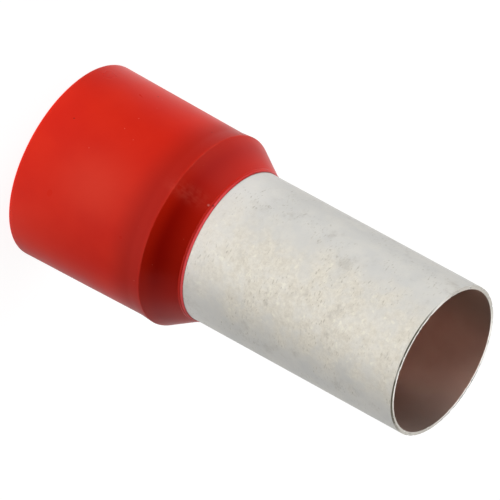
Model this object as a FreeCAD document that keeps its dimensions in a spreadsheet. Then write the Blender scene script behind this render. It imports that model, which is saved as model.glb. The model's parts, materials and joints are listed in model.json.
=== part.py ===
import FreeCAD, Part
import Sketcher
import os

# Insulated wire ferrule: a tinned copper crimp tube with a flared inner end, held in a moulded
# collar. Millimetres and degrees. The ferrule stands on the open mouth of its collar: the origin
# is the middle of the mouth's face, and +Z runs along the axis to the tip of the tube. Both pieces
# are turned forms, drawn as half sections in the XZ plane and revolved about Z.

PARTS_FOLDER = "parts"

# How near an edge has to lie to its stated radius and height.
EDGE_TOLERANCE = 1e-4

# Sketcher's numbers for the sketch's own origin and for the two ends of a line.
ORIGIN = -1
LINE_START = 1
LINE_END = 2

# Driving sizes: alias, value, meaning.
DRIVING_SIZES = (
    ("tube_bore_radius", 7.315, "inside of the straight tube, where the strands go"),
    ("tube_wall", 0.42, "thickness of the copper, the same in the tube and its flare"),
    ("pin_length", 24.7, "bare tube that stands out of the collar"),
    ("tip_chamfer", 0.08, "the two deburred edges at the cut tip"),
    ("flare_reach", 1.165, "how far the flare opens beyond the outside of the tube"),
    ("flare_angle", 30, "slope of the flare from the axis"),
    ("flare_bend_radius", 1.2, "outside radius of the bend between tube and flare"),
    ("seat_clearance", 0.01, "gap between the copper and the plastic that grips it"),
    ("rim_gap", 0.1, "from the flare's rim to the wall of the collar's bore"),
    ("insulation_depth", 12.8, "from the mouth to the rim of the flare, where the insulation stops"),
    ("collar_wall", 1.01, "plastic beside the insulation, at the mouth"),
    ("draft_angle", 0.96, "taper of the outside wall, for release from the mould"),
    ("mouth_round", 0.25, "rounding of the mouth's outer edge"),
    ("lead_in_chamfer", 0.25, "bevel of the mouth's inner edge, which guides the insulation in"),
    ("sink_offset", 1.5, "from the flare's rim to the neck, where the thick plastic has sunk"),
    ("sink_blend_radius", 5, "soft blend across the neck"),
    ("bead_run", 1.4, "from the neck to the top of the bead"),
    ("bead_rise", 0.12, "how far the bead at the shoulder stands out beyond the neck"),
    ("shoulder_round", 0.25, "rounding of the bead, where the wall turns into the cone"),
    ("cone_angle", 31.5, "slope of the cone from the axis"),
    ("lip_wall", 0.2, "plastic at the thin lip round the tube"),
    ("lip_length", 0.43, "length of the lip"),
    ("lip_chamfer", 0.12, "bevel of the lip's outer edge"),
)

# Sizes worked out from the ones above.
DERIVED_SIZES = (
    ("tube_outer_radius", "tube_bore_radius + tube_wall"),
    ("flare_rim_radius", "tube_outer_radius + flare_reach"),
    ("flare_rim_height", "insulation_depth + tube_wall * sin(flare_angle)"),
    ("flare_bend_height", "flare_rim_height + flare_reach / tan(flare_angle)"),
    ("rim_bore_radius", "flare_rim_radius - tube_wall * cos(flare_angle)"),
    ("bore_bend_height", "flare_bend_height - tube_wall * tan(flare_angle / 2)"),
    ("bore_bend_radius", "flare_bend_radius + tube_wall"),
    ("collar_bore_radius", "flare_rim_radius + rim_gap"),
    ("grip_radius", "tube_outer_radius + seat_clearance"),
    ("seat_bend_height", "flare_bend_height + seat_clearance * tan(flare_angle / 2)"),
    ("seat_rim_height", "seat_bend_height - (collar_bore_radius - grip_radius) / tan(flare_angle)"),
    ("seat_bend_radius", "flare_bend_radius - seat_clearance"),
    ("mouth_radius", "collar_bore_radius + collar_wall"),
    ("neck_height", "insulation_depth + sink_offset"),
    ("neck_radius", "mouth_radius - neck_height * tan(draft_angle)"),
    ("shoulder_height", "neck_height + bead_run"),
    ("shoulder_radius", "neck_radius + bead_rise"),
    ("lip_radius", "grip_radius + lip_wall"),
    ("cone_top_height", "shoulder_height + (shoulder_radius - lip_radius) / tan(cone_angle)"),
    ("collar_length", "cone_top_height + lip_length"),
    ("tip_height", "collar_length + pin_length"),
)


def make_sheet(doc):
    """The sheet holds the driving sizes as plain numbers, and under them the sizes that follow."""
    sheet = doc.addObject("Spreadsheet::Sheet", "Sizes")
    row = 1
    for alias, value, meaning in DRIVING_SIZES:
        sheet.set(f"A{row}", alias)
        sheet.set(f"B{row}", str(value))
        sheet.set(f"C{row}", meaning)
        sheet.setAlias(f"B{row}", alias)
        row += 1
    for alias, formula in DERIVED_SIZES:
        sheet.set(f"A{row}", alias)
        sheet.setAlias(f"B{row}", alias)
        sheet.set(f"B{row}", f"={formula}")
        row += 1
    doc.recompute()
    return sheet


def origin_feature(body, role):
    """A plane or axis of the body's own origin, by its role."""
    return next(item for item in body.Origin.OriginFeatures if item.Role == role)


def half_section(body, sheet, name, corners):
    """A closed sketch on the body's XZ plane, with a corner at each (label, radius, height, rounding).

    Each entry names a size in the sheet. A height of None lies on the base, and a rounding of None
    leaves the corner sharp.
    """
    sketch = body.newObject("Sketcher::SketchObject", name)
    sketch.AttachmentSupport = (origin_feature(body, "XZ_Plane"), [""])
    sketch.MapMode = "FlatFace"
    points = []
    for _, radius, height, _ in corners:
        points.append(FreeCAD.Vector(getattr(sheet, radius), getattr(sheet, height) if height else 0, 0))
    for index, point in enumerate(points):
        sketch.addGeometry(Part.LineSegment(points[index - 1], point))
    for index in range(len(corners)):
        after = (index + 1) % len(corners)
        sketch.addConstraint(Sketcher.Constraint("Coincident", index, LINE_END, after, LINE_START))
    for index, (label, radius, height, _) in enumerate(corners):
        place = points[index]
        across = Sketcher.Constraint("DistanceX", ORIGIN, LINE_START, index, LINE_END, place.x)
        bind(sketch, f"{label}_radius", across, radius)
        if height:
            up = Sketcher.Constraint("DistanceY", ORIGIN, LINE_START, index, LINE_END, place.y)
            bind(sketch, f"{label}_height", up, height)
        else:
            sketch.addConstraint(Sketcher.Constraint("PointOnObject", index, LINE_END, ORIGIN))
    for index, (label, _, _, rounding) in enumerate(corners):
        if rounding:
            size = getattr(sheet, rounding)
            arc = sketch.GeometryCount
            sketch.fillet(index, LINE_END, size, True, True)
            bind(sketch, f"{label}_rounding", Sketcher.Constraint("Radius", arc, size), rounding)
    return sketch


def bind(sketch, name, constraint, alias):
    """Adds a constraint whose value follows a size in the sheet."""
    number = sketch.addConstraint(constraint)
    sketch.renameConstraint(number, name)
    sketch.setExpression(f"Constraints.{name}", f"Sizes.{alias}")


def turn(body, name, section):
    """A full turn of the section about Z."""
    revolution = body.newObject("PartDesign::Revolution", name)
    revolution.Profile = section
    revolution.ReferenceAxis = (origin_feature(body, "Z_Axis"), [""])
    revolution.Angle = 360
    section.Visibility = False
    body.Document.recompute()


def bevel_rings(body, sheet, name, size, rings):
    """A chamfer on each circular edge given by its radius and height, all of them named sizes."""
    base = body.Tip
    edges = [ring_edge(base.Shape, sheet, radius, height) for radius, height in rings]
    chamfer = body.newObject("PartDesign::Chamfer", name)
    chamfer.Base = (base, edges)
    chamfer.setExpression("Size", f"Sizes.{size}")
    body.Document.recompute()


def ring_edge(shape, sheet, radius, height):
    """The name of the shape's circular edge of that radius and height."""
    ring_radius = getattr(sheet, radius)
    ring_height = getattr(sheet, height) if height else 0
    for number, edge in enumerate(shape.Edges, 1):
        if isinstance(edge.Curve, Part.Circle):
            off_radius = abs(edge.Curve.Radius - ring_radius)
            off_height = abs(edge.Curve.Center.z - ring_height)
            if max(off_radius, off_height) < EDGE_TOLERANCE:
                return f"Edge{number}"
    raise RuntimeError(f"no circular edge at {radius}, {height}")


def make_crimp_tube(doc, sheet):
    """Drawn copper tube of one thickness, its inner end flared so that no strand catches.

    The two sides of the bend are rounded about one centre, which keeps the wall's thickness.
    """
    body = doc.addObject("PartDesign::Body", "CrimpTube")
    body.Label = "crimp_tube"
    section = half_section(body, sheet, "TubeSection", (
        ("tip_outside", "tube_outer_radius", "tip_height", None),
        ("tip_inside", "tube_bore_radius", "tip_height", None),
        ("bend_inside", "tube_bore_radius", "bore_bend_height", "bore_bend_radius"),
        ("rim_inside", "rim_bore_radius", "insulation_depth", None),
        ("rim_outside", "flare_rim_radius", "flare_rim_height", None),
        ("bend_outside", "tube_outer_radius", "flare_bend_height", "flare_bend_radius"),
    ))
    turn(body, "TubeAndFlare", section)
    bevel_rings(body, sheet, "TipEdges", "tip_chamfer", (
        ("tube_outer_radius", "tip_height"),
        ("tube_bore_radius", "tip_height"),
    ))
    return body


def make_insulating_collar(doc, sheet):
    """Moulded collar: a drafted sleeve for the insulation, then a cone that closes on the tube.

    Inside, the mould's core leaves a straight bore, a funnel that backs the flare all over, and a
    tight grip on the straight tube up to the lip.
    """
    body = doc.addObject("PartDesign::Body", "InsulatingCollar")
    body.Label = "insulating_collar"
    section = half_section(body, sheet, "CollarSection", (
        ("mouth_outside", "mouth_radius", None, "mouth_round"),
        ("neck", "neck_radius", "neck_height", "sink_blend_radius"),
        ("shoulder", "shoulder_radius", "shoulder_height", "shoulder_round"),
        ("cone_top", "lip_radius", "cone_top_height", None),
        ("lip_outside", "lip_radius", "collar_length", None),
        ("lip_inside", "grip_radius", "collar_length", None),
        ("seat_bend", "grip_radius", "seat_bend_height", "seat_bend_radius"),
        ("seat_rim", "collar_bore_radius", "seat_rim_height", None),
        ("mouth_inside", "collar_bore_radius", None, None),
    ))
    turn(body, "CollarMoulding", section)
    bevel_rings(body, sheet, "LeadIn", "lead_in_chamfer", (("collar_bore_radius", None),))
    bevel_rings(body, sheet, "LipEdge", "lip_chamfer", (("lip_radius", "collar_length"),))
    return body


def check(doc, bodies):
    """Stops if any object failed to compute or any piece isn't one valid closed solid."""
    for item in doc.Objects:
        if "Invalid" in item.State or "Error" in item.State:
            raise RuntimeError(f"{item.Name} failed: {item.State}")
    for body in bodies:
        shape = body.Shape
        if shape.isNull() or not shape.isValid() or len(shape.Solids) != 1:
            raise RuntimeError(f"{body.Label} isn't one valid solid")


def main():
    doc = FreeCAD.newDocument("WireFerrule")
    sheet = make_sheet(doc)
    bodies = [make_insulating_collar(doc, sheet), make_crimp_tube(doc, sheet)]
    doc.recompute()
    check(doc, bodies)
    os.makedirs(PARTS_FOLDER, exist_ok=True)
    for body in bodies:
        body.Shape.exportStep(os.path.join(PARTS_FOLDER, f"{body.Label}.step"))
        box = body.Shape.optimalBoundingBox()
        print(body.Label, f"{box.XLength:.3f} x {box.YLength:.3f} x {box.ZLength:.3f} mm,",
              f"from {box.ZMin:.3f} to {box.ZMax:.3f}, volume {body.Shape.Volume:.2f} mm3")


main()
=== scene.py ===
# %% [markdown]
# An insulated wire ferrule
#
# A ferrule of this kind closes the cut end of a thick stranded cable, so that the strands stay together
# under a clamp. It has two pieces. One is a short copper tube with a tin skin, flared at the end where
# the strands go in. The other is a collar of red polypropylene, moulded round the flare, which takes the
# end of the cable's insulation. The two share one axis, and the ferrule stands on the collar's mouth.
#
# Both pieces are round, so this lesson draws half a section of each and lets Geometry Nodes turn it.
# The finishes are worked out from the place on the surface, with no pictures, and a tent of white
# light does what the photographer's diffusers do.

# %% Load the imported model
import json
import math

import bpy
from mathutils import Matrix, Vector


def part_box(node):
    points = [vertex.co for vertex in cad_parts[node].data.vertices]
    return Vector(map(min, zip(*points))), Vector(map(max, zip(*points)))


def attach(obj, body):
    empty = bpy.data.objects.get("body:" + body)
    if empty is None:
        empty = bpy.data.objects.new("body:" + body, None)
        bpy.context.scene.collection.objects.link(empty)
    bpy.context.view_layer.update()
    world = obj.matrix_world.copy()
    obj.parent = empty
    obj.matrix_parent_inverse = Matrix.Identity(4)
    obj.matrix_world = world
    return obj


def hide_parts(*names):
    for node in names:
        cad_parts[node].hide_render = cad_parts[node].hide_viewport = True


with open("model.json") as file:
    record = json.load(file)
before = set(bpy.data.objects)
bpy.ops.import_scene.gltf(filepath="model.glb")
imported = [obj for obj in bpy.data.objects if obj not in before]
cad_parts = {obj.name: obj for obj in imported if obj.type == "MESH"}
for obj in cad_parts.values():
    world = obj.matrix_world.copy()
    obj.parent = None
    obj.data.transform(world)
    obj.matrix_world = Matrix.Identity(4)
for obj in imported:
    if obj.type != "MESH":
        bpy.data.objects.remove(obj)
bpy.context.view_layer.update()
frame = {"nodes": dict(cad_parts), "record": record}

print("packed nodes:", ", ".join(sorted(frame["nodes"])))

# %% [markdown]
# Sizes
#
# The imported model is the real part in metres. Each size that it can give is read from it, so that the
# looks follow when the part changes: heights come from the boxes of its nodes, and radii from its
# mounts, which name the bores and the pin. Only slopes, roundings and a few short lengths are written
# here, once each and under a name. The rest is geometry: the collar's neck, shoulder and cone follow
# from where the flare ends, because the mould closes over it.

# %% Sizes
MM = 0.001
mount_radius = {m["name"]: m["dims"].get("r_mm", 0) * MM for m in frame["record"]["mounts"]}
tube_bore = mount_radius["strand_bore"]
tube_outside = mount_radius["pin_outside"]
collar_bore = mount_radius["insulation_bore"]
insulation_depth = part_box("crimp_tube")[0].z
tip_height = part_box("crimp_tube")[1].z
collar_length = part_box("insulating_collar")[1].z
wall = tube_outside - tube_bore
print(f"copper wall {wall / MM:.2f} mm, tip at {tip_height / MM:.2f} mm, "
      f"collar {collar_length / MM:.2f} mm long")

# %% [markdown]
# A wire that does maths
#
# Geometry and shader trees are both nodes joined by links. Written out, one sum takes three lines of
# code. A small class round an output socket makes it one: `1 - mask` adds a Math node and returns its
# result. Everything that isn't plain maths goes through the one method `node`. What every finish
# needs, such as a soft step, a noise, a spot, a mix of two paints, or how far a surface faces a side,
# is a short method on top of it. Wrapping nodes like this keeps a material readable as a recipe.

# %% A wire that does maths


class Wire:
    """One output of a node tree. Python's operators on it add Math nodes to the same tree."""

    def __init__(self, tree, socket=None):
        self.tree = tree
        self.socket = socket

    def node(self, kind, settings=None, sockets=None, output=0):
        """Adds a node: its settings first, then the value or the link of each socket."""
        node = self.tree.nodes.new(kind)
        for name, value in (settings or {}).items():
            setattr(node, name, value)
        for name, value in (sockets or {}).items():
            if isinstance(value, Wire):
                self.tree.links.new(value.socket, node.inputs[name])
            else:
                node.inputs[name].default_value = value
        return Wire(self.tree, node.outputs[output] if len(node.outputs) else None)

    def out(self, name):
        """Another output of the node that this wire leaves."""
        return Wire(self.tree, self.socket.node.outputs[name])

    def maths(self, operation, *values):
        return self.node("ShaderNodeMath", {"operation": operation}, dict(enumerate((self, *values))))

    def reversed_maths(self, operation, value):
        return self.node("ShaderNodeMath", {"operation": operation}, {0: value, 1: self})

    def __add__(self, other):
        return self.maths("ADD", other)

    def __sub__(self, other):
        return self.maths("SUBTRACT", other)

    def __rsub__(self, other):
        return self.reversed_maths("SUBTRACT", other)

    def __mul__(self, other):
        return self.maths("MULTIPLY", other)

    def __truediv__(self, other):
        return self.maths("DIVIDE", other)

    def __rtruediv__(self, other):
        return self.reversed_maths("DIVIDE", other)

    __radd__ = __add__
    __rmul__ = __mul__

    def vector(self, operation, *values, output="Vector"):
        """Vector maths on this wire and up to two more vectors."""
        sockets = dict(enumerate((self, *values)))
        return self.node("ShaderNodeVectorMath", {"operation": operation}, sockets, output)

    def scaled(self, factor):
        return self.node("ShaderNodeVectorMath", {"operation": "SCALE"}, {0: self, "Scale": factor})

    def length(self):
        return self.vector("LENGTH", output="Value")

    def towards(self, aim):
        """How far this direction turns towards an aim: 1 straight at it, 0 square to it."""
        return self.vector("DOT_PRODUCT", aim, output="Value")

    def step(self, low, high, start=0.0, end=1.0):
        """Goes smoothly from start to end as this wire goes from low to high."""
        return self.node("ShaderNodeMapRange", {"interpolation_type": "SMOOTHSTEP"}, {
            "Value": self, "From Min": low, "From Max": high, "To Min": start, "To Max": end})

    def band(self, middle, half_width):
        """1 where this wire is at the middle, and 0 from the half width on to both sides."""
        above = self.step(middle, middle + half_width, 1.0, 0.0)
        return self.step(middle - half_width, middle) * above

    def noise(self, size, detail=2.0, roughness=0.5, stretch=(1, 1, 1)):
        """Cloudy noise on a place wire, near 0.5 on average, with lumps of about this size in metres."""
        return self.node("ShaderNodeTexNoise", None, {
            "Vector": self.vector("MULTIPLY", stretch), "Scale": 1 / size, "Detail": detail,
            "Roughness": roughness})

    def spot(self, centre, reach, stretch=(1, 1, 1)):
        """1 at a place on the surface, falling to 0 at this reach from it."""
        away = self.vector("SUBTRACT", centre).vector("MULTIPLY", stretch)
        return away.length().step(0.0, reach, 1.0, 0.0)

    def colour(self, low, high):
        """Mixes two colours, each a wire or a linear colour, by this wire."""
        return self.node("ShaderNodeMix", {"data_type": "RGBA"}, {0: self, 6: low, 7: high}, 2)


def paint(red, green, blue):
    """The linear colour of a paint given in the 0 to 255 steps of a colour chart."""
    def linear(step):
        share = step / 255
        return share / 12.92 if share <= 0.04045 else ((share + 0.055) / 1.055) ** 2.4
    return (linear(red), linear(green), linear(blue), 1.0)


def facing(turn, lift=0):
    """The direction that is turned from the front to the right and lifted, both in degrees."""
    turn, lift = math.radians(turn), math.radians(lift)
    return Vector((math.sin(turn) * math.cos(lift), -math.cos(turn) * math.cos(lift), math.sin(lift)))


print("a mid grey in linear light:", [round(value, 3) for value in paint(128, 128, 128)])
print("the right side faces", [round(value, 3) for value in facing(90)])

# %% [markdown]
# The turning tree
#
# On a lathe a section is swept once round an axis. A Spin or a Screw modifier would do that too, but it
# leaves a seam to merge, and its section has to hold every point of each rounding. Here Curve to Mesh
# sweeps a closed half section round a circle, which has no seam and no pole. Each corner carries its
# own rounding, and Fillet Curve draws the arc, so a section is a handful of true corners.
#
# The long sides are then cut into short steps, because the tree also moves the surface a little. No
# moulded or drawn part is a perfect solid of revolution: its wall ripples by some hundredths of a
# millimetre, which shows as a slow waver in its reflections, and a cut edge has small nicks. The moves
# only go inwards, so the piece stays within the real part's size.

# %% The turning tree
TURNING_INPUTS = (
    ("Section", "NodeSocketGeometry", None),
    ("Ring Segments", "NodeSocketInt", 64),
    ("Arc Points", "NodeSocketInt", 4),
    ("Longest Step", "NodeSocketFloat", 0.001),
    ("Sweep Radius", "NodeSocketFloat", 0.01),
    ("Ripple Depth", "NodeSocketFloat", 0.0),
    ("Ripple Size", "NodeSocketFloat", 0.001),
    ("Nick Depth", "NodeSocketFloat", 0.0),
    ("Nick Size", "NodeSocketFloat", 0.001),
    ("Nick Height", "NodeSocketFloat", 0.0),
    ("Nick Reach", "NodeSocketFloat", 0.001),
    ("Material", "NodeSocketMaterial", None),
)
NICK_START = 0.52
NICK_FULL = 0.75


def rounded_section(given):
    """The closed section as a curve, with its corners rounded and its long sides cut into steps."""
    outline = given.node("GeometryNodeMeshToCurve", None, {"Mesh": given.out("Section")})
    rounding = given.node("GeometryNodeInputNamedAttribute", None, {"Name": "rounding"})
    outline = given.node("GeometryNodeFilletCurve", {"mode": "POLY"}, {
        "Curve": outline, "Count": given.out("Arc Points"), "Radius": rounding})
    here = given.node("GeometryNodeInputPosition")
    next_point = given.node("GeometryNodeOffsetPointInCurve", None, {"Offset": 1}, "Point Index")
    next_place = given.node("GeometryNodeFieldAtIndex", {"data_type": "FLOAT_VECTOR"}, {
        "Index": next_point, "Value": here})
    side = here.vector("DISTANCE", next_place, output="Value")
    cuts = (side / given.out("Longest Step")).maths("FLOOR")
    return given.node("GeometryNodeSubdivideCurve", None, {"Curve": outline, "Cuts": cuts})


def surface_shift(given):
    """The small inward move of each point: a slow ripple all over, and nicks near one height."""
    here = given.node("GeometryNodeInputPosition")
    height = here.node("ShaderNodeSeparateXYZ", None, {0: here}).out("Z")
    ripple = here.scaled(1 / given.out("Ripple Size")).noise(1.0) * given.out("Ripple Depth")
    from_edge = (given.out("Nick Height") - height) / given.out("Nick Reach")
    nick = here.scaled(1 / given.out("Nick Size")).noise(1.0, detail=1.0).step(NICK_START, NICK_FULL)
    nick = nick * from_edge.step(0.0, 1.0, 1.0, 0.0) * given.out("Nick Depth")
    return given.node("GeometryNodeInputNormal").scaled(0 - ripple - nick)


def make_turning_tree():
    """Geometry Nodes tree that rounds a closed section, sweeps it round Z and ripples the surface."""
    tree = bpy.data.node_groups.new("turning", "GeometryNodeTree")
    for name, kind, default in TURNING_INPUTS:
        socket = tree.interface.new_socket(name, in_out="INPUT", socket_type=kind)
        if default is not None:
            socket.default_value = default
    tree.interface.new_socket("Piece", in_out="OUTPUT", socket_type="NodeSocketGeometry")
    given = Wire(tree).node("NodeGroupInput")
    circle = given.node("GeometryNodeCurvePrimitiveCircle", None, {
        "Resolution": given.out("Ring Segments"), "Radius": given.out("Sweep Radius")})
    piece = given.node("GeometryNodeCurveToMesh", None, {
        "Curve": circle, "Profile Curve": rounded_section(given)})
    piece = given.node("GeometryNodeFlipFaces", None, {"Mesh": piece})
    piece = given.node("GeometryNodeSetPosition", None, {
        "Geometry": piece, "Offset": surface_shift(given)})
    piece = given.node("GeometryNodeSetShadeSmooth", None, {"Geometry": piece})
    piece = given.node("GeometryNodeRealizeInstances", None, {"Geometry": piece})
    piece = given.node("GeometryNodeSetMaterial", None, {
        "Geometry": piece, "Material": given.out("Material")})
    given.node("NodeGroupOutput", None, {"Piece": piece})
    return tree


turning = make_turning_tree()
print("turning tree:", len(turning.nodes), "nodes")

# %% [markdown]
# From a section to a piece
#
# The corners of a section are plain mesh points, with their roundings as an attribute. The tree runs on
# them as a modifier, whose inputs are set by the identifier of their socket, because two inputs may
# share a name. The result is then taken as a plain mesh and the blank is thrown away, so the finished
# piece sits at the origin, has no live modifier, and can be exported as it is.

# %% Turn a section


def turn(name, corners, material, **sizes):
    """A plain mesh piece, turned from corners that are each (radius, height, rounding).

    Curve to Mesh lays the section's X axis outwards and its Y axis down, from the sweep circle.
    """
    section = bpy.data.meshes.new(name + "_section")
    places = [(radius - tube_outside, -height, 0) for radius, height, _ in corners]
    sides = [(index, (index + 1) % len(corners)) for index in range(len(corners))]
    section.from_pydata(places, sides, [])
    roundings = section.attributes.new("rounding", "FLOAT", "POINT")
    roundings.data.foreach_set("value", [rounding for _, _, rounding in corners])

    blank = bpy.data.objects.new(name + "_blank", section)
    bpy.context.scene.collection.objects.link(blank)
    lathe = blank.modifiers.new("turning", "NODES")
    lathe.node_group = turning
    values = {"Sweep Radius": tube_outside, "Material": material, **sizes}
    for item in turning.interface.items_tree:
        if item.name in values:
            lathe[item.identifier] = values[item.name]
    bpy.context.view_layer.update()
    turned = blank.evaluated_get(bpy.context.evaluated_depsgraph_get())
    mesh = bpy.data.meshes.new_from_object(turned)
    mesh.name = name
    bpy.data.objects.remove(blank)
    piece = bpy.data.objects.new(name, mesh)
    bpy.context.scene.collection.objects.link(piece)
    triangles = sum(len(face.vertices) - 2 for face in mesh.polygons)
    print(f"{name}: {triangles} triangles, size in mm", [round(side / MM, 3) for side in piece.dimensions])
    return piece


# %% [markdown]
# Where the collar's forms are
#
# The flare is a bend, a short cone and a rim, and the wall keeps its thickness round the bend, so its
# two bends are arcs about one centre. The collar is drawn from the same values. Its bore ends in a
# funnel that backs the flare, one clearance away. Outside, the draft of the mould narrows the wall
# towards the neck, a low bead marks the shoulder, and a cone closes on the tube in a thin lip. The
# finish needs these heights too, because its painted light and shade change with what is behind the wall.

# %% Heights and radii of the collar and the flare
FLARE_REACH = 1.165 * MM
FLARE_SLOPE = math.radians(30)
FLARE_BEND = 1.2 * MM
SEAT_CLEARANCE = 0.01 * MM
COLLAR_WALL = 1.01 * MM
DRAFT = math.radians(0.96)
SINK_OFFSET = 1.5 * MM
BEAD_RUN = 1.4 * MM
BEAD_RISE = 0.12 * MM
CONE_SLOPE = math.radians(31.5)
LIP_WALL = 0.2 * MM

flare_rim_radius = tube_outside + FLARE_REACH
flare_rim_height = insulation_depth + wall * math.sin(FLARE_SLOPE)
flare_bend_height = flare_rim_height + FLARE_REACH / math.tan(FLARE_SLOPE)
bend_shift = math.tan(FLARE_SLOPE / 2)
bore_bend_height = flare_bend_height - wall * bend_shift

grip_radius = tube_outside + SEAT_CLEARANCE
seat_bend_height = flare_bend_height + SEAT_CLEARANCE * bend_shift
seat_rim_height = seat_bend_height - (collar_bore - grip_radius) / math.tan(FLARE_SLOPE)

mouth_radius = collar_bore + COLLAR_WALL
neck_height = insulation_depth + SINK_OFFSET
neck_radius = mouth_radius - neck_height * math.tan(DRAFT)
shoulder_height = neck_height + BEAD_RUN
shoulder_radius = neck_radius + BEAD_RISE
lip_radius = grip_radius + LIP_WALL
cone_top = shoulder_height + (shoulder_radius - lip_radius) / math.tan(CONE_SLOPE)
print(f"neck at {neck_height / MM:.2f} mm, shoulder at {shoulder_height / MM:.2f} mm, "
      f"cone to {cone_top / MM:.2f} mm")

# %% [markdown]
# Red polypropylene
#
# Polypropylene is a milky plastic, coloured right through, with a satin gloss from the polished mould.
# It lets some light in, so its red depends on what lies behind, and here that light and shade is painted
# into the red by height and by side: bright and a little orange over the open bore, a painted shade where
# metal lies close behind the neck, a painted shade that deepens the cone on one side, a painted lightening
# up the cone, and a painted pink highlight on the thin lip beside the pale tube. Real subsurface
# scattering could give part of this, but it is slow, noisy at a wall of one millimetre, and lost in the
# export.
#
# Over them lie very faint flow clouds, a painted highlight as a paler spot on the front of the wall, a
# painted highlight line along the shoulder, a few light and dark specks of dust in the moulding, and the
# marks of handling that this piece has: a scuff up the cone, and a nick with a pale dot in the lip. The
# scuff's streaks are noise laid round a circle, so each runs straight up the cone.
# The gloss is set low, because in a tent every side mirrors something white, which greys the red.
#
# Many values below are pairs: where a change starts, and where it is complete. On the cone they are
# shares of the way up it. By side they are cosines, with 1 where the surface faces the side named.

# %% Red polypropylene
METAL_BEHIND = (11.2 * MM, 14.6 * MM)
CONE_START = (-0.12, 0.04)
CONE_DEEPENS = (0.04, 0.42)
CONE_LIGHTENS = (0.35, 1.0)
CONE_LIGHT_SHARE = 0.6
CONE_SHADE_SIDE = facing(14)
CONE_SHADE_REACH = (0.72, 0.985)
SHOULDER_HIGHLIGHT = 0.12 * MM
SHOULDER_HIGHLIGHT_SHARES = (0.08, 0.28)
LIP_HIGHLIGHT = (0.17 * MM, 0.28 * MM)
LIP_HIGHLIGHT_SIDE = facing(20)
LIP_HIGHLIGHT_REACH = (0.3, 0.9)
LIP_HIGHLIGHT_SHARES = (0.3, 1.0)
WALL_HIGHLIGHT_CENTRE = Vector((1.2, -9.8, 8.4)) * MM
WALL_HIGHLIGHT_REACH = 5 * MM
WALL_HIGHLIGHT_SHAPE = (1.0, 1.0, 0.8)
WALL_HIGHLIGHT_SHARE = 0.17
LIGHT_DUST_SHARE = 0.4
DARK_DUST_SHARE = 0.7
SCUFF_CENTRE = Vector((-2.4, -8.9, 17.1)) * MM
SCUFF_REACH = 1.4 * MM
SCUFF_SHAPE = (1.0, 0.35, 0.40)
SCUFF_SHARE = 0.24
STREAK_CIRCLE = SCUFF_CENTRE.length / 2
STREAK_SHARES = (0.35, 1.0)
LIP_NICK = Vector((-2.44, -7.56, 19.15)) * MM
LIP_DOT = Vector((-2.29, -7.77, 18.8)) * MM
LIP_DOT_SHARE = 0.7
MARK_REACH = 0.2 * MM
RED_ROUGHNESS = (0.27, 0.34)
RED_GLOSS = 0.09


def start_material(name):
    """An empty material, and the wire that carries the place on the surface in metres."""
    material = bpy.data.materials.new(name)
    material.use_nodes = True
    material.node_tree.nodes.clear()
    place = Wire(material.node_tree).node("ShaderNodeTexCoord").out("Object")
    return material, place


def red_with_painted_light(place, height, side):
    """The red with painted light and shade for what lies behind, from the open wall over neck and cone to
    the lip.
    """
    clouds = place.noise(6 * MM, detail=3).step(0.3, 0.7)
    red = clouds.colour(paint(205, 27, 3), paint(212, 34, 6))
    # Painted shade where metal lies close behind the neck.
    red = height.step(*METAL_BEHIND).colour(red, paint(178, 24, 5))
    up_cone = (height - shoulder_height) / (cone_top - shoulder_height)
    # Painted shade, deepest on one side of the cone.
    cone_shade = side.towards(CONE_SHADE_SIDE).step(*CONE_SHADE_REACH).colour(paint(184, 19, 3), paint(160, 14, 2))
    # Painted shade up the cone, then a painted lightening towards the lip.
    cone = up_cone.step(*CONE_DEEPENS).colour(paint(193, 28, 8), cone_shade)
    cone = (up_cone.step(*CONE_LIGHTENS) * CONE_LIGHT_SHARE).colour(cone, paint(212, 36, 18))
    red = up_cone.step(*CONE_START).colour(red, cone)
    # A painted highlight line along the shoulder bead.
    shoulder_highlight = height.band(shoulder_height, SHOULDER_HIGHLIGHT)
    shoulder_highlight = shoulder_highlight * place.noise(2 * MM).step(0.35, 0.6, *SHOULDER_HIGHLIGHT_SHARES)
    red = shoulder_highlight.colour(red, paint(222, 70, 52))
    # A painted pink highlight on the lip, strongest on one side.
    start, full = LIP_HIGHLIGHT
    glow = height.step(cone_top + start, cone_top + full)
    glow = glow * side.towards(LIP_HIGHLIGHT_SIDE).step(*LIP_HIGHLIGHT_REACH, *LIP_HIGHLIGHT_SHARES)
    return glow.colour(red, paint(240, 84, 86))


def with_marks_and_highlight(place, side, red):
    """A painted highlight spot on the wall, the dust, the scuff on the cone, and the nick and the dot in
    the lip.
    """
    # A painted highlight: a paler spot on the front of the wall.
    wall_highlight = place.spot(WALL_HIGHLIGHT_CENTRE, WALL_HIGHLIGHT_REACH, WALL_HIGHLIGHT_SHAPE) * WALL_HIGHLIGHT_SHARE
    red = wall_highlight.colour(red, paint(226, 88, 68))
    light_dust = place.noise(0.25 * MM, detail=0).step(0.88, 0.92)
    red = (light_dust * LIGHT_DUST_SHARE).colour(red, paint(240, 150, 135))
    dark_dust = place.noise(0.4 * MM, detail=0, stretch=(1, 1, 1.3)).step(0.12, 0.09)
    red = (dark_dust * DARK_DUST_SHARE).colour(red, paint(120, 14, 6))
    streaks = side.scaled(STREAK_CIRCLE).noise(0.2 * MM).step(0.3, 0.7, *STREAK_SHARES)
    patches = place.noise(0.5 * MM, detail=3).step(0.3, 0.6)
    scuff = place.spot(SCUFF_CENTRE, SCUFF_REACH, SCUFF_SHAPE) * streaks * patches
    red = (scuff * SCUFF_SHARE).colour(red, paint(222, 96, 78))
    red = place.spot(LIP_NICK, MARK_REACH).colour(red, paint(90, 30, 24))
    return (place.spot(LIP_DOT, MARK_REACH) * LIP_DOT_SHARE).colour(red, paint(240, 190, 180))


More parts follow.
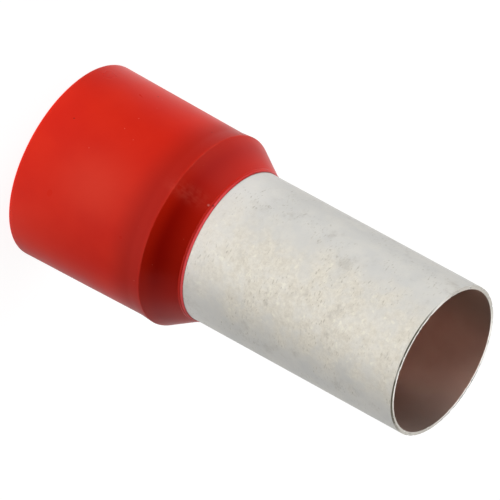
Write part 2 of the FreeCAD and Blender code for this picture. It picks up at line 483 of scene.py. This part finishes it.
def make_red_plastic():
    material, place = start_material("red_polypropylene")
    height = place.node("ShaderNodeSeparateXYZ", None, {0: place}).out("Z")
    side = place.vector("MULTIPLY", (1, 1, 0)).vector("NORMALIZE")
    bump = place.node("ShaderNodeBump", None, {
        "Strength": 0.05, "Distance": 0.02 * MM, "Height": place.noise(0.25 * MM)})
    shader = place.node("ShaderNodeBsdfPrincipled", None, {
        "Base Color": with_marks_and_highlight(place, side, red_with_painted_light(place, height, side)),
        "Roughness": place.noise(3 * MM).step(0.2, 0.8, *RED_ROUGHNESS),
        "Specular IOR Level": RED_GLOSS,
        "Normal": bump,
    })
    place.node("ShaderNodeOutputMaterial", None, {"Surface": shader})
    return material


red_plastic = make_red_plastic()
print("red polypropylene:", len(red_plastic.node_tree.nodes), "nodes")

# %% [markdown]
# Tinned copper
#
# The tin is plated on in a bath, as a skin of a few thousandths of a millimetre. It is dull, a cool
# grey with smudges, and paler just above the collar. One side has a painted warm highlight, with grainy
# cream patches of small crystals and bright painted glints in it, and is rougher there. Short pits run
# round the tube, as the drawing die and the barrel left them.
#
# The tube is cut off after it is drawn. The cut face is lighter towards the front and the back, and
# duller between. On one side the cut's outer edge has a painted dark reflection, and on the other side
# the groove in the cut face is painted dark as shade. Inside it is bare copper, with a brown painted
# shade on one side, over more of it near the tip, and a lighter painted shade on the other side.
#
# Everything is one metal shader. What tells inside from outside is the distance from the axis, which is
# exact for a turned piece and needs no second material. The painted highlight, the painted dark edge,
# and the painted shade in the groove and in the bore each lie where the surface faces one side.

# %% Tinned copper
WARM_HIGHLIGHT_SIDE = facing(12)
WARM_HIGHLIGHT_REACH = (math.cos(math.radians(50)), math.cos(math.radians(8)))
WARM_HIGHLIGHT_WANDER = 0.36
PATCH_SHARES = (0.55, 1.0)
GLINT_SHARE = 0.8
SMUDGE_SHARE = 0.5
PALER_RISE = 6 * MM
PALER_SHARE = 0.35
PIT_SHARE = 0.45
PIT_RELIEF = 0.6
BROKEN_SHARES = (0.6, 1.0)
CUT_FACE_DEPTH = 0.05 * MM
CUT_SIDE = facing(5)
CUT_REACH = (0.5, 0.9)
DARK_EDGE_SIDE = facing(26)
DARK_EDGE_REACH = (0.4, 0.8)
DARK_EDGE_WIDTH = 0.22 * MM
DARK_EDGE_SOFTNESS = 0.044 * MM
DARK_EDGE_LOW = 0.06 * MM
GROOVE_SHADE_SIDE = facing(162)
GROOVE_SHADE_REACH = (0.86, 0.96)
GROOVE_FROM_OUTSIDE = 0.12 * MM
GROOVE_HALF_WIDTH = 0.09 * MM
BORE_SHADE_SIDE = facing(112)
BORE_SHADE_START = 0.62
BORE_SHADE_START_AT_TIP = 0.35
BORE_SHADE_FULL = 1.05
BORE_SHADE_RISE = 7 * MM
OTHER_SIDE_SHADE_REACH = (0.0, -0.6)
TIN_ENDS = (1.0 * MM, 0.3 * MM)
TIN_REACH = 0.04 * MM
TIN_ROUGHNESS = (0.40, 0.50)
EXTRA_ROUGHNESS = 0.06
OXIDE_SHARE = 0.9


def tin_outside(place, height, warm_highlight):
    """Cool tin with a painted warm highlight, smudges, a paler part by the collar and pits, and the pits
    alone for the relief.
    """
    clouds = place.noise(2.2 * MM, detail=4, roughness=0.6).step(0.35, 0.68)
    tin = clouds.colour(paint(214, 213, 209), paint(221, 219, 213))
    # Down one side, a painted warm highlight with grainy cream patches and painted glints in it.
    grain = place.noise(0.45 * MM, detail=5, roughness=0.75).step(0.3, 0.7)
    cream = grain.colour(paint(221, 215, 202), paint(238, 233, 221))
    patches = place.noise(1.5 * MM, detail=4, roughness=0.6).step(0.32, 0.60, *PATCH_SHARES)
    tin = (warm_highlight * patches).colour(tin, cream)
    glints = place.noise(0.6 * MM, detail=3).step(0.60, 0.74) * warm_highlight * GLINT_SHARE
    tin = glints.colour(tin, paint(242, 238, 224))
    smudges = place.noise(3.2 * MM, detail=5, roughness=0.7).step(0.54, 0.72)
    tin = (smudges * SMUDGE_SHARE).colour(tin, paint(186, 181, 172))
    # Paler within a few millimetres above the collar.
    paler_near_collar = height.step(collar_length, collar_length + PALER_RISE, PALER_SHARE, 0.0)
    tin = paler_near_collar.colour(tin, paint(244, 242, 237))
    crowded = place.noise(3 * MM, detail=2).step(0.40, 0.62)
    pits = place.noise(0.45 * MM, detail=2, stretch=(1, 1, 2.6)).step(0.58, 0.72) * crowded
    return (pits * PIT_SHARE).colour(tin, paint(160, 152, 136)), pits


def bore_inside(place, height, side):
    """Bare copper with painted shade: brown on one side, over more of it near the tip, and a lighter shade
    on the other side.
    """
    clouds = place.noise(4 * MM, detail=3).step(0.3, 0.7)
    copper = clouds.colour(paint(232, 192, 176), paint(242, 206, 190))
    # Painted shade: brown on one side, over more of it near the tip, and lighter on the other side.
    to_side = side.towards(BORE_SHADE_SIDE)
    near_tip = height.step(tip_height - BORE_SHADE_RISE, tip_height)
    bore_shade = near_tip.colour(paint(114, 85, 73), paint(114, 97, 89))
    start = BORE_SHADE_START - near_tip * (BORE_SHADE_START - BORE_SHADE_START_AT_TIP)
    copper = to_side.step(start, BORE_SHADE_FULL).colour(copper, bore_shade)
    return to_side.step(*OTHER_SIDE_SHADE_REACH).colour(copper, paint(188, 166, 152))


def cut_face(place, height, radius, side, tin):
    """The cut end: lighter towards the front and back, with a painted dark reflection on its outer edge
    and painted shade in the groove.
    """
    face = height.step(tip_height - CUT_FACE_DEPTH, tip_height - CUT_FACE_DEPTH / 2)
    along_cut = side.towards(CUT_SIDE).maths("ABSOLUTE").step(*CUT_REACH)
    tin = face.colour(tin, along_cut.colour(paint(184, 180, 172), paint(236, 234, 228)))
    broken = place.noise(1.3 * MM, detail=3).step(0.3, 0.5, *BROKEN_SHARES)
    # A painted dark reflection along the outer edge of the cut, on one side.
    dark_edge_radius = tube_outside - DARK_EDGE_WIDTH
    dark_edge = side.towards(DARK_EDGE_SIDE).step(*DARK_EDGE_REACH)
    dark_edge = dark_edge * radius.step(dark_edge_radius, dark_edge_radius + DARK_EDGE_SOFTNESS)
    dark_edge = dark_edge * height.step(tip_height - 2 * DARK_EDGE_LOW, tip_height - DARK_EDGE_LOW) * broken
    tin = dark_edge.colour(tin, paint(98, 94, 82))
    # Painted shade in the groove, on one side.
    groove_shade = side.towards(GROOVE_SHADE_SIDE).step(*GROOVE_SHADE_REACH) * broken
    groove_shade = groove_shade * radius.band(tube_outside - GROOVE_FROM_OUTSIDE, GROOVE_HALF_WIDTH)
    return (groove_shade * face).colour(tin, paint(40, 36, 32))


def make_tinned_copper():
    material, place = start_material("tin_skin_on_copper")
    height = place.node("ShaderNodeSeparateXYZ", None, {0: place}).out("Z")
    flat = place.vector("MULTIPLY", (1, 1, 0))
    radius = flat.length()
    side = flat.vector("NORMALIZE")
    # The side of the painted warm highlight, with a wandering edge.
    wander = (place.noise(3 * MM, detail=4) - 0.5) * WARM_HIGHLIGHT_WANDER
    warm_highlight = (side.towards(WARM_HIGHLIGHT_SIDE) + wander).step(*WARM_HIGHLIGHT_REACH)
    tin, pits = tin_outside(place, height, warm_highlight)
    tin = cut_face(place, height, radius, side, tin)
    flare_opening = (bore_bend_height - height).maths("MAXIMUM", 0.0) * math.tan(FLARE_SLOPE)
    lowest, highest = TIN_ENDS
    tin_edge = height.step(tip_height - lowest, tip_height - highest, 0.5 * wall, TIN_REACH)
    inside = (radius - flare_opening - tube_bore - tin_edge).step(0.01 * MM, -0.01 * MM)
    relief = place.noise(0.3 * MM, detail=3) - pits * PIT_RELIEF
    bump = place.node("ShaderNodeBump", None, {
        "Strength": 0.12, "Distance": 0.02 * MM, "Height": relief})
    roughness = place.noise(1.5 * MM, detail=3).step(0.3, 0.7, *TIN_ROUGHNESS)
    shader = place.node("ShaderNodeBsdfPrincipled", None, {
        "Base Color": inside.colour(tin, bore_inside(place, height, side)),
        "Metallic": 1 - inside * OXIDE_SHARE,
        "Roughness": roughness + (warm_highlight + inside) * EXTRA_ROUGHNESS,
        "Normal": bump,
    })
    place.node("ShaderNodeOutputMaterial", None, {"Surface": shader})
    return material


tinned_copper = make_tinned_copper()
print("tinned copper:", len(tinned_copper.node_tree.nodes), "nodes")

# %% [markdown]
# The collar
#
# The section runs up the outside from the mouth, over the neck, the shoulder and the cone to the lip,
# and down the inside through the funnel to the bore and its lead-in. The neck's rounding is far larger
# than the others, because there the plastic has sunk as the thick part of the moulding cooled. The lip
# tapers to a thin tip against the tube, because a flat top would lie in the tube's shade and draw a
# dark line round it. The piece needs many segments round, since the outline of a smooth part shows
# every flat.

# %% The collar
MOUTH_ROUND = 0.25 * MM
SINK_BLEND = 5 * MM
SHOULDER_ROUND = 0.25 * MM
LIP_TAPER = 0.26 * MM
LIP_ROUND = 0.06 * MM
LIP_TIP = 0.02 * MM
LEAD_IN = 0.25 * MM
SOFT_EDGE = 0.05 * MM
GRIP_EDGE = 0.005 * MM

collar = turn("collar", (
    (mouth_radius, 0, MOUTH_ROUND),
    (neck_radius, neck_height, SINK_BLEND),
    (shoulder_radius, shoulder_height, SHOULDER_ROUND),
    (lip_radius, cone_top, SOFT_EDGE),
    (lip_radius, collar_length - LIP_TAPER, LIP_ROUND),
    (grip_radius + LIP_TIP, collar_length, GRIP_EDGE),
    (grip_radius, collar_length, GRIP_EDGE),
    (grip_radius, seat_bend_height, FLARE_BEND - SEAT_CLEARANCE),
    (collar_bore, seat_rim_height, SOFT_EDGE),
    (collar_bore, LEAD_IN, SOFT_EDGE),
    (collar_bore + LEAD_IN, 0, SOFT_EDGE),
), red_plastic, **{
    "Ring Segments": 288, "Arc Points": 6, "Longest Step": 0.4 * MM,
    "Ripple Depth": 0.02 * MM, "Ripple Size": 5 * MM,
})

# %% [markdown]
# The tube
#
# The section goes round the wall of the tube: over the cut tip, down the bore to the flare, and back up
# the outside. The groove is three more corners in the cut face. The tip has small chamfers,
# which take the light as a thin bright line, and it alone has nicks, where the blade left it.

# %% The tube
TIP_CHAMFER = 0.05 * MM
BORE_CHAMFER = 0.04 * MM
FLARE_EDGE = 0.04 * MM
GROOVE_DEPTH = 0.03 * MM
GROOVE_EDGE = 0.01 * MM
groove_radius = tube_outside - GROOVE_FROM_OUTSIDE

tube = turn("tube", (
    (tube_outside, tip_height, TIP_CHAMFER),
    (groove_radius + GROOVE_DEPTH, tip_height, GROOVE_EDGE),
    (groove_radius, tip_height - GROOVE_DEPTH, GROOVE_EDGE),
    (groove_radius - GROOVE_DEPTH, tip_height, GROOVE_EDGE),
    (tube_bore, tip_height, BORE_CHAMFER),
    (tube_bore, bore_bend_height, FLARE_BEND + wall),
    (flare_rim_radius - wall * math.cos(FLARE_SLOPE), insulation_depth, FLARE_EDGE),
    (flare_rim_radius, flare_rim_height, FLARE_EDGE),
    (tube_outside, flare_bend_height, FLARE_BEND),
), tinned_copper, **{
    "Ring Segments": 360, "Arc Points": 5, "Longest Step": 0.4 * MM,
    "Ripple Depth": 0.014 * MM, "Ripple Size": 3 * MM,
    "Nick Depth": 0.05 * MM, "Nick Size": 0.5 * MM, "Nick Height": tip_height, "Nick Reach": 0.2 * MM,
})

# %% [markdown]
# The camera
#
# The ferrule stands upright here, because it would roll on its side, but it is pictured lying across
# the frame. Both are true at once if the camera is turned about its own line of sight. So the camera
# looks down at the front of the part by one angle, its own right and up are then turned by another,
# and two small offsets slide it sideways to put the part in its place in the frame. A long lens from a
# metre away keeps the sides of the tube almost parallel.

# %% Camera
CAMERA_ELEVATION = math.radians(27.03)
PICTURE_TURN = math.radians(28.66)
CAMERA_DISTANCE = 1.0024
CAMERA_LENS = 770.7
SENSOR_WIDTH = 36
MODEL_MIDDLE = Vector((0, 0, 0.022))
AIM_RIGHT = -0.656 * MM
AIM_UP = 0.875 * MM


def make_camera():
    towards_camera = Vector((0, -math.cos(CAMERA_ELEVATION), math.sin(CAMERA_ELEVATION)))
    upright = Vector((0, math.sin(CAMERA_ELEVATION), math.cos(CAMERA_ELEVATION)))
    sideways = Vector((1, 0, 0))
    right = math.cos(PICTURE_TURN) * upright - math.sin(PICTURE_TURN) * sideways
    up = -math.sin(PICTURE_TURN) * upright - math.cos(PICTURE_TURN) * sideways
    data = bpy.data.cameras.new("camera")
    data.sensor_width = SENSOR_WIDTH
    data.lens = CAMERA_LENS
    camera = bpy.data.objects.new("camera", data)
    place = MODEL_MIDDLE + AIM_RIGHT * right + AIM_UP * up + CAMERA_DISTANCE * towards_camera
    axes = Matrix((right, up, towards_camera)).transposed().to_4x4()
    camera.matrix_world = Matrix.Translation(place) @ axes
    bpy.context.scene.collection.objects.link(camera)
    bpy.context.scene.camera = camera
    return camera


camera = make_camera()
print("camera at, m:", [round(value, 3) for value in camera.location])

# %% [markdown]
# The light tent
#
# Small shiny things are photographed in a tent of white cloth, lit from outside, and the camera looks
# in through an opening. The opening and the room behind it are dark, and that is what draws a round
# metal part: pale where it mirrors the cloth, grey where it mirrors the opening. Lamps alone would
# leave the tube black between their spots.
#
# Here the world is the cloth and the floor is its lit base, each with a strength that depends on the
# direction. Light Path tells apart who is looking. Matt surfaces gather from a wide opening, and
# mirrors see a smaller one, as they would in a deep tent, while the camera sees plain white. The level
# is plain too: the light on a surface adds up to about 1, so a paint renders about as it is written.

# %% What both parts of the tent share
WHITE = (1, 1, 1, 1)
CAMERA_WHITE = 1.22


def tent_strength(path, matt, mirror):
    """White for the camera, one strength for matt surfaces and one for mirrors."""
    is_matt = path.out("Is Diffuse Ray")
    is_camera = path.out("Is Camera Ray")
    light = is_matt * matt + (1 - is_matt) * mirror
    return is_camera * CAMERA_WHITE + (1 - is_camera) * light


print("strength of the tent for the camera:", CAMERA_WHITE)

# %% [markdown]
# The floor
#
# The floor is a lit white sheet, brighter towards the front and near the part, as a tent's base is
# where the lamp falls on it. Mirrors see it nearly even, but for a pale patch in front and two duller
# ones, at the right and at the back. A quarter of it is a plain matt white that the object can shade, so
# it keeps a soft shadow and still fades into the background. It lies a hundredth of a millimetre below
# the part, because two faces in one plane would flicker.

# %% Floor
FLOOR_DROP = 0.01 * MM
FLOOR_SIDE = 4.0
SHADOW_SHARE = 0.25
SHEET_WHITE = (0.9, 0.9, 0.9, 1)
FRONT = facing(15)
FRONT_REACH = (0.1, 1.0)
MATT_SIDES = 0.47
MATT_FRONT = 2.6
MATT_NEAR = 30 * MM
MATT_FAR = 120 * MM
MATT_FAR_SHARE = 0.57
MIRROR_LEVEL = 1.10
MIRROR_FRONT = facing(24)
MIRROR_FRONT_REACH = (0.75, 1.0)
MIRROR_FRONT_GAIN = 0.26
MIRROR_RIGHT = facing(120)
MIRROR_RIGHT_REACH = (0.0, 1.0)
MIRROR_RIGHT_LOSS = 0.50
MIRROR_BACK = facing(-146)
MIRROR_BACK_REACH = (0.6, 1.0)
MIRROR_BACK_LOSS = 0.25


def make_floor():
    mesh = bpy.data.meshes.new("floor")
    half = FLOOR_SIDE / 2
    mesh.from_pydata([(-half, -half, -FLOOR_DROP), (half, -half, -FLOOR_DROP),
                      (half, half, -FLOOR_DROP), (-half, half, -FLOOR_DROP)], [], [(0, 1, 2, 3)])
    floor = bpy.data.objects.new("floor", mesh)
    bpy.context.scene.collection.objects.link(floor)
    material, place = start_material("white_floor")
    away = place.vector("NORMALIZE")
    from_part = place.length()
    matt = away.towards(FRONT).step(*FRONT_REACH, MATT_SIDES, MATT_FRONT)
    matt = matt * from_part.step(MATT_NEAR, MATT_FAR, 1.0, MATT_FAR_SHARE)
    mirror = MIRROR_LEVEL + away.towards(MIRROR_FRONT).step(*MIRROR_FRONT_REACH, 0.0, MIRROR_FRONT_GAIN)
    mirror = mirror - away.towards(MIRROR_RIGHT).step(*MIRROR_RIGHT_REACH, 0.0, MIRROR_RIGHT_LOSS)
    mirror = mirror - away.towards(MIRROR_BACK).step(*MIRROR_BACK_REACH, 0.0, MIRROR_BACK_LOSS)
    path = place.node("ShaderNodeLightPath")
    glow = path.node("ShaderNodeEmission", None, {
        "Color": WHITE, "Strength": tent_strength(path, matt, mirror)})
    sheet = path.node("ShaderNodeBsdfDiffuse", None, {"Color": SHEET_WHITE})
    mixed = path.node("ShaderNodeMixShader", None, {0: SHADOW_SHARE, 1: glow, 2: sheet})
    path.node("ShaderNodeOutputMaterial", None, {"Surface": mixed})
    mesh.materials.append(material)
    return floor


floor = make_floor()
print("floor:", FLOOR_SIDE, "m a side, at", floor.data.vertices[0].co.z / MM, "mm")

# %% [markdown]
# The cloth above
#
# The world's strength falls from the cloth's to almost nothing across the edge of the opening. For
# matt surfaces that opening is wider, and the cloth is dimmer at the back, away from the lamps. Angles
# are compared by their cosines, because the dot product of two directions gives just that.

# %% World
CLOTH_MATT = 2.35
CLOTH_BACK = 1.42
BACK = facing(200)
BACK_REACH = (0.2, 0.9)
CLOTH_MIRROR = 1.2
OPENING_DARK = 0.02
MATT_MIDDLE = facing(47, 38)
MATT_OPENING = (math.cos(math.radians(87)), math.cos(math.radians(76)))
MIRROR_MIDDLE = facing(31, 35)
MIRROR_OPENING = (math.cos(math.radians(44)), math.cos(math.radians(36)))


def make_world():
    world = bpy.data.worlds.new("light_tent")
    world.use_nodes = True
    tree = world.node_tree
    tree.nodes.clear()
    direction = Wire(tree).node("ShaderNodeTexCoord").out("Generated")
    matt = direction.towards(BACK).step(*BACK_REACH, CLOTH_MATT, CLOTH_BACK)
    matt = direction.towards(MATT_MIDDLE).step(*MATT_OPENING, matt, OPENING_DARK)
    mirror = direction.towards(MIRROR_MIDDLE).step(*MIRROR_OPENING, CLOTH_MIRROR, OPENING_DARK)
    path = direction.node("ShaderNodeLightPath")
    cloth = path.node("ShaderNodeBackground", None, {
        "Color": WHITE, "Strength": tent_strength(path, matt, mirror)})
    path.node("ShaderNodeOutputWorld", None, {"Surface": cloth})
    bpy.context.scene.world = world
    return world


world = make_world()
print("world:", len(world.node_tree.nodes), "nodes")

# %% [markdown]
# Handing over
#
# Nothing on a ferrule moves, so both pieces ride on the one body. Each replaces the imported solid of its
# own node, which is hidden. The Standard view transform shows colours as they are.

# %% Hand over
PIECES = (
    (collar, "insulating_collar", "red_plastic"),
    (tube, "crimp_tube", "tinned_copper"),
)
for piece, node, slot in PIECES:
    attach(piece, "root")
    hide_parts(node)

bpy.context.scene.view_settings.view_transform = "Standard"
